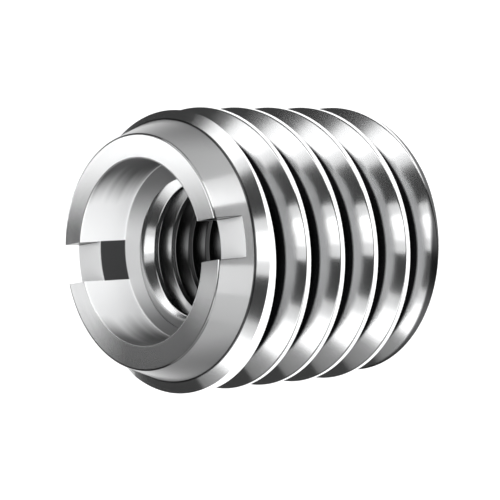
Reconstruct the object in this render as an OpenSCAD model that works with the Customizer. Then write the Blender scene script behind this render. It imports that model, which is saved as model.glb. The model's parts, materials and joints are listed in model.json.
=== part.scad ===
// Threaded insert, turned from one bar, standing on its plain end with the slotted end up.
// The origin is the centre of the plain end face and +Z runs up the common axis.

/* [Body] */
// Length over both end faces
length = 11.1125; // [9:0.0001:16]
// Diameter over the crests of the outside thread
major_d = 11.1125; // [9.2:0.0001:13.5]
// Width of the 45 degree chamfer round the plain end
end_chamfer = 0.25; // [0.1:0.01:0.5]

/* [Outside thread] */
// Distance from one turn of the outside thread to the next
pitch = 1.8143; // [1.4:0.0001:2.1]
// Width of the full first crest, at the slot's +X end
first_crest = 0.27; // [0.2:0.01:0.6]
// Turns over which the groove deepens, from the smooth nose to its full depth
run_in = 0.35; // [0.2:0.01:0.6]

/* [Slotted nose] */
// How far the back of the nose lies below the crests of the outside thread
nose_step = 0.49; // [0.2:0.01:0.7]
// How much the nose narrows, in radius, from its back to the slotted face
nose_taper = 0.51; // [0.2:0.01:0.8]
// Length of the nose
nose_len = 1.365; // [1:0.005:1.9]
// Width of the driver slot
slot_w = 1.55; // [0.8:0.01:2.4]
// Depth of the driver slot
slot_depth = 1; // [0.6:0.01:2]

/* [Bore] */
// Solid wall between the roots of the outside thread and of the fine inside thread
wall = 1.2683; // [0.9:0.0001:1.6]
// Distance from one turn of the inside thread to the next
inside_pitch = 0.9071; // [0.7:0.0001:1.1]
// Gap all round between the inside thread's bolt and the smooth recess above the thread
recess_gap = 0.4; // [0.1:0.01:0.6]
// Depth of the smooth recess
recess_depth = 2.25; // [1.4:0.01:3]
// Angle between the recess's floor cone and the axis
floor_angle = 60; // [35:1:80]
// Width of the 45 degree countersink at the plain end
countersink = 0.55; // [0.2:0.01:0.8]

/* [Hidden] */

// Smoothness of the turned faces, and straight steps in one turn of the thread
round_fn = 144;
turn_steps = 72;

// Sixty degree thread form: flanks 30 degrees off the radial plane, crest and root cut flat
flank_angle = 30;
crest_flat = pitch / 8;
thread_depth = 17 / 24 * pitch * cos(flank_angle);
root_flat = pitch - crest_flat - 2 * thread_depth * tan(flank_angle);
major_r = major_d / 2;
root_r = major_r - thread_depth;

// Back and front of the nose
nose_r = major_r - nose_step;
face_r = nose_r - nose_taper;

// The first flank rises from the nose to the crest at the thread's own angle
rise_len = nose_step * tan(flank_angle);

// The inside thread fits its bolt's radius, and the plain bore lies at that thread's crests
bolt_r = root_r - wall;
bore_r = bolt_r - 5 / 8 * inside_pitch * cos(flank_angle);
recess_r = bolt_r + recess_gap;

// Cutters stand this far clear of the faces that they cut through
overcut = 0.1;

// Depth below the slotted face of the groove's middle, at the slot's +X end on its first full turn
groove_depth = nose_len + rise_len + first_crest + (pitch - crest_flat) / 2;
// The groove starts this many turns before that place, on the side away from it, and leaves at the plain end
first_turn = -0.72;
last_turn = (length - groove_depth) / pitch + 0.6;

// Outline of the turned blank, as radius and height
module blank_outline() {
    polygon([
        [0, 0],
        [major_r - end_chamfer, 0],
        [major_r, end_chamfer],
        [major_r, length - nose_len - rise_len],
        [nose_r, length - nose_len],
        [face_r, length],
        [0, length],
    ]);
}

// How far the cutter still stands out of its full depth, at a given turn
function stand_off(turn) = (thread_depth + overcut) * max(0, 1 - (turn - first_turn) / run_in);

// The groove's section: radius and height of its four corners, root first and outer edge last
function groove_section(turn) =
    let (
        inner = root_r + stand_off(turn),
        outer = inner + thread_depth + overcut,
        half_root = root_flat / 2,
        half_mouth = half_root + (outer - inner) * tan(flank_angle)
    )
    [[inner, -half_root], [inner, half_root], [outer, half_mouth], [outer, -half_mouth]];

// A corner of the section carried round the axis, clockwise and down as seen from the slotted end
function on_helix(turn, corner) =
    let (angle = -360 * turn, height = length - groove_depth - pitch * turn + corner[1])
    [corner[0] * cos(angle), corner[0] * sin(angle), height];

// The cutter that takes the right-hand helical groove out of the blank
module thread_groove() {
    steps = ceil((last_turn - first_turn) * turn_steps);
    turns = [for (i = [0 : steps]) first_turn + i / turn_steps];
    points = [for (turn = turns) for (corner = groove_section(turn)) on_helix(turn, corner)];
    sides = [
        for (i = [0 : steps - 1]) for (j = [0 : 3])
            let (near = 4 * i + j, far = 4 * i + (j + 1) % 4)
            each [[near, far, far + 4], [near, far + 4, near + 4]]
    ];
    caps = [[3, 2, 1, 0], [4 * steps, 4 * steps + 1, 4 * steps + 2, 4 * steps + 3]];
    polyhedron(points, concat(sides, caps), convexity = 12);
}

// Everything that is bored from the two ends
module bore_cutter() {
    floor_len = (recess_r - bore_r) / tan(floor_angle);
    rotate_extrude($fn = round_fn)
        polygon([
            [0, -overcut],
            [bore_r + countersink + overcut, -overcut],
            [bore_r, countersink],
            [bore_r, length - recess_depth - floor_len],
            [recess_r, length - recess_depth],
            [recess_r, length + overcut],
            [0, length + overcut],
        ]);
}

// The driver slot, straight across the slotted face along X
module slot_cutter() {
    translate([-major_r - overcut, -slot_w / 2, length - slot_depth])
        cube([2 * (major_r + overcut), slot_w, slot_depth + overcut]);
}

module threaded_insert() {
    color([0.78, 0.79, 0.80])
        difference() {
            rotate_extrude($fn = round_fn) blank_outline();
            thread_groove();
            bore_cutter();
            slot_cutter();
        }
}

threaded_insert();
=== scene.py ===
# %% [markdown]
# # A threaded insert in bright steel
# A threaded insert is a short steel sleeve with a coarse thread outside and a fine thread inside. It is
# screwed into a hole whose own thread is worn out, and a bolt then goes into the insert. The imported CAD
# model is loaded first. It fixes the size and the place of everything that follows.

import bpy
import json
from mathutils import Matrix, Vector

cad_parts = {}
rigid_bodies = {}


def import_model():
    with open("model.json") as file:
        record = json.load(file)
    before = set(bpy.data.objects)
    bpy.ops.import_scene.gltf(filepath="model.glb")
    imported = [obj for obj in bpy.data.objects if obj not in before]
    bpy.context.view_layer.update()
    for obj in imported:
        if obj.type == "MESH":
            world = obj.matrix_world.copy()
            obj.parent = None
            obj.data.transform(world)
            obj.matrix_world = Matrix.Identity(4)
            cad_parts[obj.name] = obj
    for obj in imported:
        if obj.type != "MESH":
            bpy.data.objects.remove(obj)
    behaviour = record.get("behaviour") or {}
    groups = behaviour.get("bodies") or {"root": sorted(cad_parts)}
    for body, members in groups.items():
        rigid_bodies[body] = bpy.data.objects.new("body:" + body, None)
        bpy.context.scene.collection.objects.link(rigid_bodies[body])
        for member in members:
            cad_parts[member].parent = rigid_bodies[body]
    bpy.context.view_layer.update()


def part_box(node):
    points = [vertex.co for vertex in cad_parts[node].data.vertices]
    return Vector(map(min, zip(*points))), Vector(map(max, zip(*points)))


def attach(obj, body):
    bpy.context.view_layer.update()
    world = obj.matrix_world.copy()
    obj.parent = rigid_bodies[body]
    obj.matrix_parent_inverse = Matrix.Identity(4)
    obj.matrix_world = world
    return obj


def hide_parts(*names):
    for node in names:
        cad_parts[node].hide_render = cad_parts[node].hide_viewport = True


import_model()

# %% Modules used below
import json
import math

import bpy
from mathutils import Matrix, Vector

print("Blender", bpy.app.version_string)

# %% [markdown]
# ## Sizes
# The sizes are in millimetres, as on a drawing, and the finished mesh is scaled to metres at the very
# end. The length and the diameter over the thread come from the CAD node itself, so the two can't drift
# apart. The other sizes repeat the names and values of the part's source.

# %% Sizes of the insert
MM = 0.001
low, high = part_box("threaded_insert")
length = (high[2] - low[2]) / MM
major_r = (high[0] - low[0]) / 2 / MM
print(f"length {length:.4f} mm, outside radius {major_r:.4f} mm")

end_chamfer = 0.25
pitch = 1.8143
first_crest = 0.27
run_in = 0.35
first_turn = -0.72
nose_step = 0.49
nose_taper = 0.51
nose_len = 1.365
slot_w = 1.55
slot_depth = 1.0
wall = 1.2683
inside_pitch = 0.9071
recess_gap = 0.4
recess_depth = 2.25
floor_angle = math.radians(60)
countersink = 0.55
flank_angle = math.radians(30)

# %% Sizes that follow from them
crest_flat = pitch / 8
thread_depth = 17 / 24 * pitch * math.cos(flank_angle)
root_flat = pitch - crest_flat - 2 * thread_depth * math.tan(flank_angle)
root_r = major_r - thread_depth
nose_r = major_r - nose_step
face_r = nose_r - nose_taper
bolt_r = root_r - wall
bore_r = bolt_r - 5 / 8 * inside_pitch * math.cos(flank_angle)
recess_r = bolt_r + recess_gap
nose_back = length - nose_len
cone_top = length - recess_depth
cone_foot = cone_top - (recess_r - bore_r) / math.tan(floor_angle)
rise_len = (major_r - nose_r) * math.tan(flank_angle)
groove_start = length - (nose_len + rise_len + first_crest + (pitch - crest_flat) / 2)
print(f"thread root {root_r:.3f} mm, nose {nose_r:.3f} to {face_r:.3f} mm, bore {bore_r:.3f} mm")

# %% [markdown]
# ## Outlines with soft corners
# A real edge is never perfectly sharp. A turned edge carries a tiny round, and that round is what catches
# the light as a thin white line. Each outline below is a short list of corners, and one helper puts a
# small arc at each of them. Two more points stand close beside every arc. They hold the straight
# stretches straight when the faces are shaded smooth.

# %% A helper that rounds the corners of an outline
def rounded(corners, radii, pieces=3, shoulder=0.03):
    """The outline's points, with an arc at each corner and one more point beside each end of the arc."""
    points = [Vector(corners[0])]
    for before, corner, after, radius in zip(corners, corners[1:], corners[2:], radii[1:]):
        before, corner, after = Vector(before), Vector(corner), Vector(after)
        into, out = (corner - before).normalized(), (after - corner).normalized()
        if radius == 0:
            points.append(corner)
            continue
        bend = into.angle(out)
        reach = radius * math.tan(bend / 2)
        side = Vector((-into.y, into.x)) * math.copysign(radius, into.x * out.y - into.y * out.x)
        start = corner - into * reach
        points.append(start - into * shoulder)
        for step in range(pieces + 1):
            along = bend * step / pieces
            points.append(start + into * radius * math.sin(along) + side * (1 - math.cos(along)))
        points.append(corner + out * (reach + shoulder))
    points.append(Vector(corners[-1]))
    return points


def outline(name, points):
    """A poly curve that holds an outline: X is the distance from the axis and Z the height."""
    curve = bpy.data.curves.new(name, "CURVE")
    curve.dimensions = "3D"
    spline = curve.splines.new("POLY")
    spline.points.add(len(points) - 1)
    for place, point in zip(spline.points, points):
        place.co = (point[0], 0, point[1], 1)
    thing = bpy.data.objects.new(name, curve)
    bpy.context.scene.collection.objects.link(thing)
    print(f"{name}: {len(points)} points")
    return thing


print("one rounded corner becomes", len(rounded([(0, 0), (1, 0), (1, 1)], [0, 0.1, 0])) - 2, "points")

# %% [markdown]
# ## The turned blank
# On a lathe the insert starts as a bar that is turned to its outer shape and bored from both ends. Its
# outline is one closed ring: up the outside, across the slotted face and down the bore. Where the threads
# will be, the outline stands clear of them, so that the threads decide the shape there.

# %% Outline of the blank
clear_r = major_r + 0.3
core_r, core_middle = 2.0, 5.0
blank_corners = [
    (core_r, core_middle),
    (core_r, bore_r + countersink - core_r),
    (bore_r + countersink, 0),
    (major_r - end_chamfer, 0),
    (clear_r, clear_r - major_r + end_chamfer),
    (clear_r, nose_back - (clear_r - nose_r) * math.tan(flank_angle)),
    (nose_r, nose_back),
    (face_r, length),
    (recess_r, length),
    (recess_r, cone_top),
    (core_r, cone_top - (recess_r - core_r) / math.tan(floor_angle)),
    (core_r, core_middle),
]
blank_rounds = [0, 0, 0.04, 0.06, 0, 0, 0.03, 0.07, 0.05, 0.05, 0, 0]
blank_outline = outline("blank_outline", rounded(blank_corners, blank_rounds))

# %% [markdown]
# ## One pitch of each thread
# A thread is one small section carried round the axis while it climbs. Each section runs from the middle
# of one crest, down a flank into the root, and up to the middle of the next crest. The outside thread and
# the inside thread both have the 60 degree form, and the inside one is drawn as the tap that cuts it.

# %% Sections of the two threads
half_mouth = (pitch - crest_flat) / 2
groove_corners = [
    (major_r, -pitch / 2),
    (major_r, -half_mouth),
    (root_r, -root_flat / 2),
    (root_r, root_flat / 2),
    (major_r, half_mouth),
    (major_r, pitch / 2),
]
groove_outline = outline("groove_outline", rounded(groove_corners, [0, 0.05, 0.1, 0.1, 0.05, 0]))

tap_corners = [
    (bore_r, -inside_pitch / 2),
    (bore_r, -inside_pitch * 3 / 8),
    (bolt_r, -inside_pitch / 16),
    (bolt_r, inside_pitch / 16),
    (bore_r, inside_pitch * 3 / 8),
    (bore_r, inside_pitch / 2),
]
tap_outline = outline("tap_outline", rounded(tap_corners, [0, 0.03, 0.03, 0.03, 0.03, 0], 2, 0.02))

# %% [markdown]
# ## Writing formulas as nodes
# Geometry Nodes and shaders both work with fields: numbers that are worked out anew at every point. Math
# nodes are easier to read as a formula, so this small class adds one Math node for each sign in a Python
# expression. The same class serves the materials further down.

# %% A field that adds a Math node for each sign
class Field:
    def __init__(self, tree, socket):
        self.tree, self.socket = tree, socket

    def math(self, operation, *others):
        node = self.tree.nodes.new("ShaderNodeMath")
        node.operation = operation
        for place, value in zip(node.inputs, (self, *others)):
            feed(self.tree, place, value)
        return Field(self.tree, node.outputs[0])

    def __add__(self, other):
        return self.math("ADD", other)

    def __sub__(self, other):
        return self.math("SUBTRACT", other)

    def __mul__(self, other):
        return self.math("MULTIPLY", other)

    def __truediv__(self, other):
        return self.math("DIVIDE", other)


def feed(tree, place, value):
    """Gives a socket a value: a link from a field or another socket, or else a plain number."""
    if isinstance(value, Field):
        value = value.socket
    if isinstance(value, bpy.types.NodeSocket):
        tree.links.new(value, place)
    else:
        place.default_value = value


def add(tree, kind, settings=None, **inputs):
    """A new node with its settings, and its inputs fed by name (spaces are written as underscores)."""
    node = tree.nodes.new(kind)
    for name, value in (settings or {}).items():
        setattr(node, name, value)
    for name, value in inputs.items():
        feed(tree, node.inputs[name.replace("_", " ")], value)
    return node


def new_tree(name, inputs):
    """An empty Geometry Nodes tree with named inputs, its input fields by name, and its output node."""
    tree = bpy.data.node_groups.new(name, "GeometryNodeTree")
    for label, kind, value in inputs:
        socket = tree.interface.new_socket(label, in_out="INPUT", socket_type=kind)
        if value is not None:
            socket.default_value = value
    tree.interface.new_socket("Geometry", in_out="OUTPUT", socket_type="NodeSocketGeometry")
    entry = tree.nodes.new("NodeGroupInput")
    fields = {label: Field(tree, entry.outputs[label]) for label, kind, value in inputs}
    return tree, fields, tree.nodes.new("NodeGroupOutput")


print("node helpers: Field, feed, add and new_tree")

# %% [markdown]
# ## Bright turned steel
# Turned steel mirrors the room, but the tool leaves fine rings all round, so reflections are smeared
# across the rings and stay sharp along them. The Principled shader does this with its anisotropy, once it
# is told which way the rings run. The rings run round the axis, at right angles to both the axis and the
# line out to the point, so their direction comes straight from the Object coordinates.

# %% Fields that every steel needs
def steel_fields(tree):
    """Radius, height, angle round the axis, distance from the slot's middle, and the rings' direction."""
    here = add(tree, "ShaderNodeTexCoord").outputs["Object"]
    split = add(tree, "ShaderNodeSeparateXYZ", Vector=here)
    x, y, z = (Field(tree, split.outputs[axis]) * (1 / MM) for axis in "XYZ")
    radius = (x * x + y * y).math("SQRT")
    round_axis = add(tree, "ShaderNodeCombineXYZ", X=y * -1, Y=x)
    rings = add(tree, "ShaderNodeVectorMath", {"operation": "NORMALIZE"})
    feed(tree, rings.inputs[0], round_axis.outputs[0])
    return radius, z, y.math("ARCTAN2", x), y.math("ABSOLUTE"), rings.outputs[0]


def ramp(tree, value, start, end):
    """0 where the value is at start, 1 where it is at end, with a soft way between."""
    node = add(tree, "ShaderNodeMapRange", {"interpolation_type": "SMOOTHSTEP"}, Value=value)
    node.inputs["From Min"].default_value = start
    node.inputs["From Max"].default_value = end
    return Field(tree, node.outputs["Result"])


def noise(tree, vector, scale, detail=2.0):
    """An even noise, from 0 to 1."""
    node = add(tree, "ShaderNodeTexNoise", Vector=vector, Scale=scale, Detail=detail)
    return Field(tree, node.outputs["Fac"])


print("shader helpers: steel_fields, ramp and noise")

# %% Start the steel
turned_steel = bpy.data.materials.new("turned_steel")
turned_steel.use_nodes = True
tree = turned_steel.node_tree
shader = tree.nodes["Principled BSDF"]
radius, height, angle, off_slot, rings = steel_fields(tree)
normal = add(tree, "ShaderNodeTexCoord").outputs["Normal"]
facing = Field(tree, add(tree, "ShaderNodeSeparateXYZ", Vector=normal).outputs["Z"])
print(turned_steel.name, "starts with", len(tree.nodes), "nodes")

# %% [markdown]
# ## Turning marks
# A lathe tool leaves a very fine spiral, and handling leaves a few duller places. Both are noise that is
# drawn out along the rings: the angle counts for much less than the radius and the height. They are kept
# faint, because a polished insert shows them only where a reflection ends.

# %% Marks and dull patches
marks_at = add(tree, "ShaderNodeCombineXYZ", X=radius, Y=height, Z=angle * 0.05)
marks = noise(tree, marks_at.outputs[0], 6.0, 2.0)
patches = noise(tree, marks_at.outputs[0], 1.3)
relief = add(tree, "ShaderNodeBump", Height=marks, Strength=0.012, Distance=0.00002)
print("marks and patches:", len(tree.nodes), "nodes so far")

# %% [markdown]
# ## Matt places
# The smooth recess is bored and not polished, and the floor of the driver slot is sawn. Both look pale
# and matt, so they scatter light where the rest mirrors it. Each place is found by its radius and height,
# which needs no painted texture and stays sharp however near the camera comes.

# %% Masks of the matt places
over_bore = ramp(tree, height, cone_foot - 0.05, cone_foot + 0.05)
in_recess = over_bore * ramp(tree, radius, recess_r + 0.05, recess_r + 0.01)
on_wall = in_recess * ramp(tree, height, cone_top - 0.04, cone_top)
on_cone = in_recess * ramp(tree, height, cone_top, cone_top - 0.04)
over_floor = height - (length - slot_depth)
at_floor = ramp(tree, over_floor.math("ABSOLUTE"), 0.03, 0.01)
in_slot = at_floor * ramp(tree, off_slot, slot_w / 2, slot_w / 2 - 0.03)
print("recess and slot floor:", len(tree.nodes), "nodes so far")

# %% [markdown]
# ## Painted shade
# The steel is painted darker where shade falls: in the roots of the thread, deep in the inside thread, round
# the plain end as a contact shadow, on the sawn walls of the slot, in the corner behind the nose, down the
# sides of the recess and on the cone under it. The flanks that face down, the ground nose and one side of
# the slotted face are painted a little darker as well. The picture is a drawing, and the painted shade on
# the nose, the cone, the undersides and the slotted face is placed to follow its tones, where a real insert
# would be lighter. The darkest mask wins, which a Maximum node does without any order.

# %% Masks of the painted shade in the threads
outside = ramp(tree, radius, recess_r, recess_r + 0.4)
behind_nose = ramp(tree, height, nose_back - 0.3, nose_back - 0.45)
# painted shade in the roots of the outside thread
in_groove = ramp(tree, radius, root_r + 0.45, root_r + 0.35) * outside * behind_nose
under_cone = ramp(tree, height, cone_foot + 0.1, cone_foot - 0.05)
# painted shade deep in the inside thread, darker the deeper it goes
in_tap = ramp(tree, radius, bolt_r + 0.045, bolt_r - 0.075) * under_cone
deeper = ramp(tree, height, cone_foot + 0.15, cone_foot - 2.35)
# painted shade on the flanks that face down
underside = ramp(tree, facing, -0.5, -0.8) * ramp(tree, radius, root_r - 0.24, root_r - 0.04)
off_floor = ramp(tree, height, 0.1, 0.3)
# painted contact shadow in a band round the plain end
near_end = ramp(tree, height, end_chamfer + 0.25, end_chamfer + 0.15)
end_contact_shadow = near_end * ramp(tree, radius, major_r - 0.3, major_r - 0.2)
# the painted shade masks of the threads, each with its strength
painted_shade_masks = [in_groove, in_tap * (deeper * 0.75 + 0.12), underside * off_floor * 0.65, end_contact_shadow * 0.9]
print("film in the threads:", len(painted_shade_masks), "masks")

# %% Masks of the painted shade at the slotted end
# painted shade on the sawn walls of the slot
beside_slot = ramp(tree, (off_slot - slot_w / 2).math("ABSOLUTE"), 0.03, 0.01)
slot_walls = beside_slot * ramp(tree, over_floor, 0.0, 0.04) * ramp(tree, height, length, length - 0.06)
clear_of_recess = ramp(tree, radius, recess_r, recess_r + 0.1)
# painted shade on the recess wall under the slots
under_slot = ramp(tree, off_slot, slot_w / 2 + 0.03, slot_w / 2) * ramp(tree, over_floor, 0.02, -0.04)
outward, upward = radius - nose_r, height - nose_back
# painted shade in the corner behind the nose
nose_corner = ramp(tree, (outward * outward + upward * upward).math("SQRT"), 0.08, 0.035)
# painted shade on the nose, darker away from the slot, following the drawing's shading
in_front = ramp(tree, upward, -0.02, 0.02) * ramp(tree, radius, face_r - 0.25, face_r - 0.05)
on_nose = in_front * ramp(tree, facing, 0.6, 0.45)
on_face = ramp(tree, height, length - 0.05, length - 0.02)
# painted shade on the low side of the slotted face
low_side = ramp(tree, angle, -2.6, -1.85) * ramp(tree, angle, -0.35, -1.05)
# painted shade at the slotted end: slot walls, recess wall under the slots, recess sides away from the slot,
# nose corner, nose, cone darker away from the slot, and one side of the face
painted_shade_masks += [
    slot_walls * clear_of_recess * 0.9,
    on_wall * under_slot * 0.97,
    on_wall * ramp(tree, off_slot + patches, 2.6, 3.9) * 0.92,
    nose_corner * 0.9,
    on_nose * (ramp(tree, off_slot, 3.2, 4.6) * 0.4 + 0.33),
    on_cone * (ramp(tree, off_slot, 0.8, 3.0) * 0.5 + 0.35),
    on_face * low_side * 0.65,
]
# the darkest painted shade wins
painted_shade = painted_shade_masks[0]
for mask in painted_shade_masks[1:]:
    painted_shade = painted_shade.math("MAXIMUM", mask)
print("film in all:", len(painted_shade_masks), "masks")

# %% [markdown]
# ## The shader
# One Principled shader carries it all. The painted shade blends the colour from bright steel to nearly black,
# and the matt places lose their metallic mirror and gain roughness. The anisotropy is a plain number, and
# the rings tell it its direction. A quarter turn makes the smear run across the rings.

# %% Colour and reflection
# the colour runs from bright steel to the near-black of the painted shade
steel_and_shade_mix = add(tree, "ShaderNodeMix", {"data_type": "RGBA"})
feed(tree, steel_and_shade_mix.inputs["Factor"], painted_shade)
steel_and_shade_mix.inputs["A"].default_value = (0.87, 0.875, 0.88, 1)
steel_and_shade_mix.inputs["B"].default_value = (0.012, 0.012, 0.013, 1)
feed(tree, shader.inputs["Base Color"], steel_and_shade_mix.outputs["Result"])
feed(tree, shader.inputs["Metallic"], in_recess * -1.0 + in_slot * -0.6 + 1.0)
uneven = (marks - 0.5) * 0.02 + (patches - 0.5) * 0.04
feed(tree, shader.inputs["Roughness"], uneven + painted_shade * 0.1 + in_recess * 0.3 + in_slot * 0.3 + 0.13)
shader.inputs["Anisotropic"].default_value = 0.8
shader.inputs["Anisotropic Rotation"].default_value = 0.25
feed(tree, shader.inputs["Tangent"], rings)
feed(tree, shader.inputs["Normal"], relief.outputs["Normal"])
print(turned_steel.name, "has", len(tree.nodes), "nodes")

# %% [markdown]
# ## Carrying a section round the axis
# One tree makes all three round bodies. It lays out a grid with one column for each point of the section
# and one row for each step round the axis, and moves every grid point to its place. With a pitch it makes
# a screw, and with none it makes a plain turned body. A screw's two open ends are closed to a point on
# the axis, because the boolean that follows needs closed solids. A Screw modifier could do the same, but
# it can't let the groove fade in over part of a turn.

# %% The tree that carries a section
NUMBER, WHOLE, THING = "NodeSocketFloat", "NodeSocketInt", "NodeSocketObject"
carry, given, result = new_tree("Carry Section", [
    ("Section", THING, None),
    ("Steps per Turn", WHOLE, 160),
    ("Pitch", NUMBER, 0.0),
    ("First Turn", NUMBER, 0.0),
    ("Turns", NUMBER, 1.0),
    ("Start Height", NUMBER, 0.0),
    ("Plain Radius", NUMBER, 0.0),
    ("Fade From", NUMBER, -100.0),
    ("Fade Over", NUMBER, 1.0),
])
section = add(carry, "GeometryNodeObjectInfo", Object=given["Section"]).outputs["Geometry"]
count = add(carry, "GeometryNodeAttributeDomainSize", {"component": "CURVE"}, Geometry=section)
columns = Field(carry, count.outputs["Point Count"])
rows = given["Turns"] * given["Steps per Turn"] + 1
grid = add(
    carry, "GeometryNodeMeshGrid", Size_X=columns - 1, Size_Y=rows - 1, Vertices_X=columns, Vertices_Y=rows
)

place = add(carry, "GeometryNodeInputPosition").outputs[0]
split = add(carry, "ShaderNodeSeparateXYZ", Vector=place)
column = (Field(carry, split.outputs["X"]) + (columns - 1) / 2).math("ROUND")
turn = given["First Turn"] + (Field(carry, split.outputs["Y"]) + (rows - 1) / 2) / given["Steps per Turn"]
print(carry.name, "lays out its grid with", len(carry.nodes), "nodes")

# %% Where each grid point goes
sample = add(
    carry, "GeometryNodeSampleIndex", {"data_type": "FLOAT_VECTOR"},
    Geometry=section, Value=place, Index=column,
)
point = add(carry, "ShaderNodeSeparateXYZ", Vector=sample.outputs["Value"])
depth = add(carry, "ShaderNodeMapRange", Value=turn)
feed(carry, depth.inputs["From Min"], given["Fade From"])
feed(carry, depth.inputs["From Max"], given["Fade From"] + given["Fade Over"])
depth = Field(carry, depth.outputs["Result"])

radius = given["Plain Radius"] + (Field(carry, point.outputs["X"]) - given["Plain Radius"]) * depth
at_crest = (column.math("COMPARE", 0, 0.5)).math("MAXIMUM", column.math("COMPARE", columns - 1, 0.5))
climb = Field(carry, point.outputs["Z"]) * depth.math("MAXIMUM", at_crest)
height = given["Start Height"] - given["Pitch"] * turn + climb
angle = turn * (-2 * math.pi)
across, aside = radius * angle.math("COSINE"), radius * angle.math("SINE")
goal = add(carry, "ShaderNodeCombineXYZ", X=across, Y=aside, Z=height)
skin = add(carry, "GeometryNodeSetPosition", Geometry=grid.outputs["Mesh"], Position=goal.outputs[0])
skin = add(carry, "GeometryNodeMergeByDistance", Geometry=skin.outputs[0], Distance=0.0004)
print(carry.name, "moves its points with", len(carry.nodes), "nodes so far")

# %% Closing a screw's ends
neighbours = Field(carry, add(carry, "GeometryNodeInputMeshEdgeNeighbors").outputs["Face Count"])
is_rim = neighbours.math("COMPARE", 1, 0.1)
cap = add(
    carry, "GeometryNodeExtrudeMesh", {"mode": "EDGES"},
    Mesh=skin.outputs[0], Selection=is_rim, Offset_Scale=0.0,
)
rim_height = Field(carry, split.outputs["Z"])
top_height = given["Start Height"] - given["Pitch"] * given["First Turn"]
bottom_height = top_height - given["Pitch"] * given["Turns"]
is_top = rim_height.math("GREATER_THAN", (top_height + bottom_height) / 2)
apex_height = bottom_height + (top_height - bottom_height) * is_top
apex = add(carry, "ShaderNodeCombineXYZ", Z=apex_height)
cap_edges, cap_tip = cap.outputs["Mesh"], cap.outputs["Top"]
cap = add(carry, "GeometryNodeSetPosition", Geometry=cap_edges, Selection=cap_tip, Position=apex.outputs[0])
cap = add(carry, "GeometryNodeMergeByDistance", Geometry=cap.outputs[0], Distance=0.0004)
feed(carry, result.inputs["Geometry"], cap.outputs[0])
print(carry.name, "has", len(carry.nodes), "nodes")

# %% [markdown]
# ## Cutting the insert
# The insert is made as a machinist makes it. The screw with the outside thread is cut to the blank's
# outline, then the tap is taken out of the bore, and last a saw cuts the driver slot straight across the
# nose. Each cut is a Mesh Boolean with the Manifold solver, which is fast and keeps the result closed.

# %% The tree that cuts the insert
insert_tree, given, result = new_tree("Threaded Insert", [
    ("Blank Outline", THING, None),
    ("Groove Outline", THING, None),
    ("Tap Outline", THING, None),
    ("Steps per Turn", WHOLE, 192),
    ("Thread Radius", NUMBER, 5.0),
    ("Pitch", NUMBER, 1.8),
    ("Groove Start", NUMBER, 8.0),
    ("Run In From", NUMBER, -0.7),
    ("Run In Over", NUMBER, 0.35),
    ("Inside Pitch", NUMBER, 0.9),
    ("Inside Radius", NUMBER, 2.7),
    ("Inside Start", NUMBER, 8.0),
    ("Slot Width", NUMBER, 1.5),
    ("Slot Floor", NUMBER, 9.5),
    ("Slot Length", NUMBER, 12.0),
    ("Smooth Below", NUMBER, 0.5),
])


def carried(section_name, **values):
    """A group node that carries one of the outlines round the axis."""
    node = insert_tree.nodes.new("GeometryNodeGroup")
    node.node_tree = carry
    feed(insert_tree, node.inputs["Section"], given[section_name])
    for name, value in values.items():
        feed(insert_tree, node.inputs[name.replace("_", " ")], value)
    return node.outputs["Geometry"]


blank = carried("Blank Outline", Steps_per_Turn=given["Steps per Turn"])
screw = carried(
    "Groove Outline", Steps_per_Turn=given["Steps per Turn"], Pitch=given["Pitch"],
    First_Turn=-2.25, Turns=7.75,
    Start_Height=given["Groove Start"], Plain_Radius=given["Thread Radius"],
    Fade_From=given["Run In From"], Fade_Over=given["Run In Over"],
)
tap = carried(
    "Tap Outline", Steps_per_Turn=96, Pitch=given["Inside Pitch"], First_Turn=-3.0, Turns=14.0,
    Start_Height=given["Inside Start"], Plain_Radius=given["Inside Radius"],
)
saw_size = add(insert_tree, "ShaderNodeCombineXYZ", X=given["Slot Length"], Y=given["Slot Width"], Z=4.0)
saw = add(insert_tree, "GeometryNodeMeshCube", Size=saw_size.outputs[0])
saw_place = add(insert_tree, "ShaderNodeCombineXYZ", Z=given["Slot Floor"] + 2.0)
saw = add(
    insert_tree, "GeometryNodeTransform",
    Geometry=saw.outputs["Mesh"], Translation=saw_place.outputs[0],
)

threaded = add(insert_tree, "GeometryNodeMeshBoolean", {"operation": "INTERSECT", "solver": "MANIFOLD"})
insert_tree.links.new(blank, threaded.inputs["Mesh 2"])
insert_tree.links.new(screw, threaded.inputs["Mesh 2"])
finished = add(insert_tree, "GeometryNodeMeshBoolean", {"operation": "DIFFERENCE", "solver": "MANIFOLD"})
insert_tree.links.new(threaded.outputs["Mesh"], finished.inputs["Mesh 1"])
insert_tree.links.new(tap, finished.inputs["Mesh 2"])
insert_tree.links.new(saw.outputs["Geometry"], finished.inputs["Mesh 2"])
print(insert_tree.name, "has", len(insert_tree.nodes), "nodes so far")

# %% Shading, scale and material at the end of the tree
merged = add(insert_tree, "GeometryNodeMergeByDistance", Geometry=finished.outputs["Mesh"], Distance=0.0003)
metres = add(insert_tree, "GeometryNodeTransform", Geometry=merged.outputs["Geometry"], Scale=(MM, MM, MM))
smooth = add(
    insert_tree, "GeometryNodeSetShadeSmooth", {"domain": "FACE"},
    Geometry=metres.outputs[0], Shade_Smooth=True,
)
bend = Field(insert_tree, add(insert_tree, "GeometryNodeInputMeshEdgeAngle").outputs["Unsigned Angle"])
soft = bend.math("LESS_THAN", given["Smooth Below"])
smooth = add(
    insert_tree, "GeometryNodeSetShadeSmooth", {"domain": "EDGE"},
    Geometry=smooth.outputs[0], Shade_Smooth=soft,
)
whole = add(insert_tree, "GeometryNodeRealizeInstances", Geometry=smooth.outputs[0])
painted = add(insert_tree, "GeometryNodeSetMaterial", Geometry=whole.outputs[0], Material=turned_steel)
feed(insert_tree, result.inputs["Geometry"], painted.outputs[0])
print(insert_tree.name, "has", len(insert_tree.nodes), "nodes")

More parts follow.
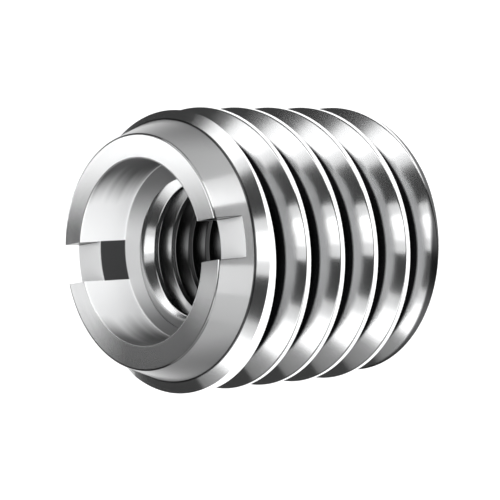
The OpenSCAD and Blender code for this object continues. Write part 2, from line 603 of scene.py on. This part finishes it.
# %% Run the tree and keep its mesh
host = bpy.data.objects.new("insert_host", bpy.data.meshes.new("insert_host"))
bpy.context.scene.collection.objects.link(host)
cutting = host.modifiers.new("Cutting", "NODES")
cutting.node_group = insert_tree
values = {
    "Blank Outline": blank_outline,
    "Groove Outline": groove_outline,
    "Tap Outline": tap_outline,
    "Thread Radius": major_r,
    "Pitch": pitch,
    "Groove Start": groove_start,
    "Run In From": first_turn,
    "Run In Over": run_in,
    "Inside Pitch": inside_pitch,
    "Inside Radius": bore_r,
    "Inside Start": length - recess_depth,
    "Slot Width": slot_w,
    "Slot Floor": length - slot_depth,
    "Slot Length": 2.4 * major_r,
    "Smooth Below": math.radians(28),
}
for socket in insert_tree.interface.items_tree:
    if socket.in_out == "INPUT" and socket.name in values:
        cutting[socket.identifier] = values[socket.name]
graph = bpy.context.evaluated_depsgraph_get()
mesh = bpy.data.meshes.new_from_object(host.evaluated_get(graph))
insert_body = bpy.data.objects.new("insert_body", mesh)
bpy.context.scene.collection.objects.link(insert_body)
for helper in (host, blank_outline, groove_outline, tap_outline):
    bpy.data.objects.remove(helper)
triangles = sum(len(face.vertices) - 2 for face in mesh.polygons)
print("insert_body:", len(mesh.vertices), "vertices,", triangles, "triangles")

# %% The finished piece
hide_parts("threaded_insert")
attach(insert_body, "root")
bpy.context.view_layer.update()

# %% [markdown]
# ## The camera
# The picture looks down at the slotted end from the side, and the camera is rolled a quarter turn, so
# that the insert's axis runs to the right. The camera was fitted to the drawn circles of the slotted
# face, the mouth, the back of the nose and the plain end, and to the lines of the thread. They fix its
# direction well and its distance poorly: 16 to 20 outside radii fit about equally well, and 16 was
# chosen. It is given here as the direction of the axis as the camera sees it, and the place of the
# slotted face in front of the lens. The slot isn't quite level in the picture. The insert stays where its
# CAD model has it, so the camera, the lamps and the floor are turned together by that small angle
# instead.

# %% Place the camera
axis_turn, axis_rise = math.radians(47.19), math.radians(2.23)
face_seen_at = Vector((-0.7642, 0.0147, 16.0)) * major_r * MM
seen_axis = Vector((
    math.sin(axis_turn) * math.cos(axis_rise), -math.sin(axis_rise), math.cos(axis_turn) * math.cos(axis_rise)
))
near_side = seen_axis.cross(Vector((0, -1, 0))).normalized()
upper_side = near_side.cross(seen_axis)
seen = Matrix((near_side, upper_side, -seen_axis))
studio_turn = math.radians(-6.4)
studio = Matrix.Rotation(studio_turn, 3, "Z")

focal_pixels, picture_pixels, sensor = 2322, 500, 36
camera = bpy.data.objects.new("camera", bpy.data.cameras.new("camera"))
bpy.context.scene.collection.objects.link(camera)
camera.data.lens = focal_pixels / picture_pixels * sensor
camera.data.sensor_width = sensor
camera.data.clip_start = 0.001
turned = studio @ seen @ Matrix.Diagonal((1, -1, -1))
stand = Vector((0, 0, length * MM)) - studio @ seen @ face_seen_at
camera.matrix_world = Matrix.Translation(stand) @ turned.to_4x4()
bpy.context.scene.camera = camera
print("camera at", [round(c, 4) for c in stand])

# %% [markdown]
# ## The floor
# The insert stands on a plain pale floor. Polished steel mirrors the floor as much as it mirrors the
# lamps, so the floor is given painted light: it glows softly round the insert and gets calmer farther
# out. A floor that is white everywhere would fill the dark sides of the threads with light.

# %% Floor
floor_mesh = bpy.data.meshes.new("floor")
side = 0.8
floor_corners = [(-side, -side, 0), (side, -side, 0), (side, side, 0), (-side, side, 0)]
floor_mesh.from_pydata(floor_corners, [], [(0, 1, 2, 3)])
floor = bpy.data.objects.new("floor", floor_mesh)
bpy.context.scene.collection.objects.link(floor)
floor.matrix_world = studio.to_4x4()
print("floor:", 2 * side, "m across")

# %% Floor finish
pale = bpy.data.materials.new("pale_floor")
pale.use_nodes = True
floor_tree = pale.node_tree
pale_shader = floor_tree.nodes["Principled BSDF"]
pale_shader.inputs["Base Color"].default_value = (0.6, 0.6, 0.6, 1)
pale_shader.inputs["Roughness"].default_value = 0.9
pale_shader.inputs["Specular IOR Level"].default_value = 0.0
pale_shader.inputs["Emission Color"].default_value = (1, 1, 1, 1)
floor_place = add(floor_tree, "ShaderNodeTexCoord").outputs["Object"]
spot = add(floor_tree, "ShaderNodeSeparateXYZ", Vector=floor_place)
along = (Field(floor_tree, spot.outputs["X"]) - 0.004).math("ABSOLUTE")
across = Field(floor_tree, spot.outputs["Y"]).math("ABSOLUTE")
# painted light: a faint glow over the whole floor and a brighter pool of it round the insert
painted_floor_light = ramp(floor_tree, along, 0.06, 0.02) * ramp(floor_tree, across, 0.032, 0.0115) * 0.68 + 0.12
feed(floor_tree, pale_shader.inputs["Emission Strength"], painted_floor_light)
floor_mesh.materials.append(pale)
print(pale.name, "has", len(floor_tree.nodes), "nodes")

# %% [markdown]
# ## The room
# The room itself is nearly dark. Bright metal draws its form with the contrast between lamps and dark
# room, and a light world would turn it into grey plastic. The Standard view keeps white paper white.

# %% World
world = bpy.data.worlds.new("studio")
bpy.context.scene.world = world
world.use_nodes = True
world.node_tree.nodes["Background"].inputs["Color"].default_value = (1, 1, 1, 1)
world.node_tree.nodes["Background"].inputs["Strength"].default_value = 0.05
bpy.context.scene.view_settings.view_transform = "Standard"
print("world:", world.name)

# %% [markdown]
# ## Softboxes
# Every lamp is a rectangular area light. Its strength is given as the brightness of its face, where 1 is
# white paper, and the helper turns that into watts: the brightness times pi times the area. So a lamp can
# be made longer or wider, and its reflection in the steel stays as bright as it was.

# %% A softbox
centre = Vector((0, 0, length * MM / 2))


def softbox(name, toward, along, width, height, distance, strength, shift=0.0):
    """A lamp that stands in a direction from the insert and faces it, its width along another direction."""
    back = Vector(toward).normalized()
    side = Vector(along)
    side = (side - back * side.dot(back)).normalized()
    light = bpy.data.lights.new(name, "AREA")
    light.shape = "RECTANGLE"
    light.size, light.size_y = width, height
    light.energy = strength * math.pi * width * height
    box = bpy.data.objects.new(name, light)
    bpy.context.scene.collection.objects.link(box)
    turned = studio @ Matrix((side, back.cross(side), back)).transposed()
    spot = centre + studio @ (back * distance + Vector((shift, 0, 0)))
    box.matrix_world = Matrix.Translation(spot) @ turned.to_4x4()
    return box


def opening(spread, distance):
    """How wide a lamp has to be to fill an angle at a distance."""
    return 2 * distance * math.tan(math.radians(spread / 2))


print(f"a lamp that fills 36 degrees at 0.25 m is {opening(36, 0.25):.3f} m wide")

# %% [markdown]
# ## Strips overhead
# The flanks of the thread mirror what hangs overhead. Long strips side by side give the broad white bands
# that run across all the turns, and the dark gaps between the strips give the grey bands. Each band is
# made of strips of different strength, so that it has one crisp edge and one soft one. A second row,
# farther over the far side, lies where the flat slotted face mirrors it. It is brightest above the upper
# part, and a short strip more lights the far half of the lower part. The strengths were first estimated
# from the tones in the picture and then set one by one.

# %% Hang the strips
reach = 0.16


def strip(name, lean, spread, start, end, strength):
    """A strip overhead that runs from start to end towards the near side; lean is its angle across."""
    toward = (0, math.sin(math.radians(lean)), math.cos(math.radians(lean)))
    softbox(name, toward, (1, 0, 0), end - start, opening(spread, reach), reach, strength, (start + end) / 2)


for name, first_lean, strengths in (
    ("lower", -57, (0.2, 0.2, 1.7, 1.4, 0.7)),
    ("middle", -9, (0.8, 1.3, 1.7, 0.8)),
    ("upper", 33, (0.9, 1.7, 1.2)),
):
    for number, strength in enumerate(strengths):
        strip(f"{name}_{number}", first_lean + 6 * number, 6, -0.1, 0.12, strength)
for number, (lean, strength) in enumerate(((-4.5, 0.35), (1.5, 0.6), (4.5, 2.8))):
    strip(f"face_{number}", lean, 3, -0.4, -0.1, strength)
strip("face_low", -5, 4, -0.4, -0.173, 0.9)

# %% [markdown]
# ## Lamps at the sides
# The matt recess doesn't mirror lamps, so it needs plain light. A wide box high on the near side shines
# into it. Polished faces would turn white where they mirror such a box, so it is hidden from glossy rays
# and lights only what is matt. The nose is a cone and mirrors the horizon, so four low boxes stand on the
# floor and draw its light streaks.

# %% Place the side lamps
rise, away = math.radians(32), 0.25
near_box = softbox(
    "near_box", (math.cos(rise), 0, math.sin(rise)), (0, 1, 0),
    opening(72, away), opening(36, away), away, 4.6,
)
near_box.visible_glossy = False
for turn, strength in ((-48, 0.6), (-24, 1.1), (48, 2.4), (72, 0.5)):
    toward = (math.cos(math.radians(turn)), math.sin(math.radians(turn)), 0.16)
    softbox(f"standing_{turn}", toward, (0, 0, 1), 0.07, opening(24, 0.2), 0.2, strength)
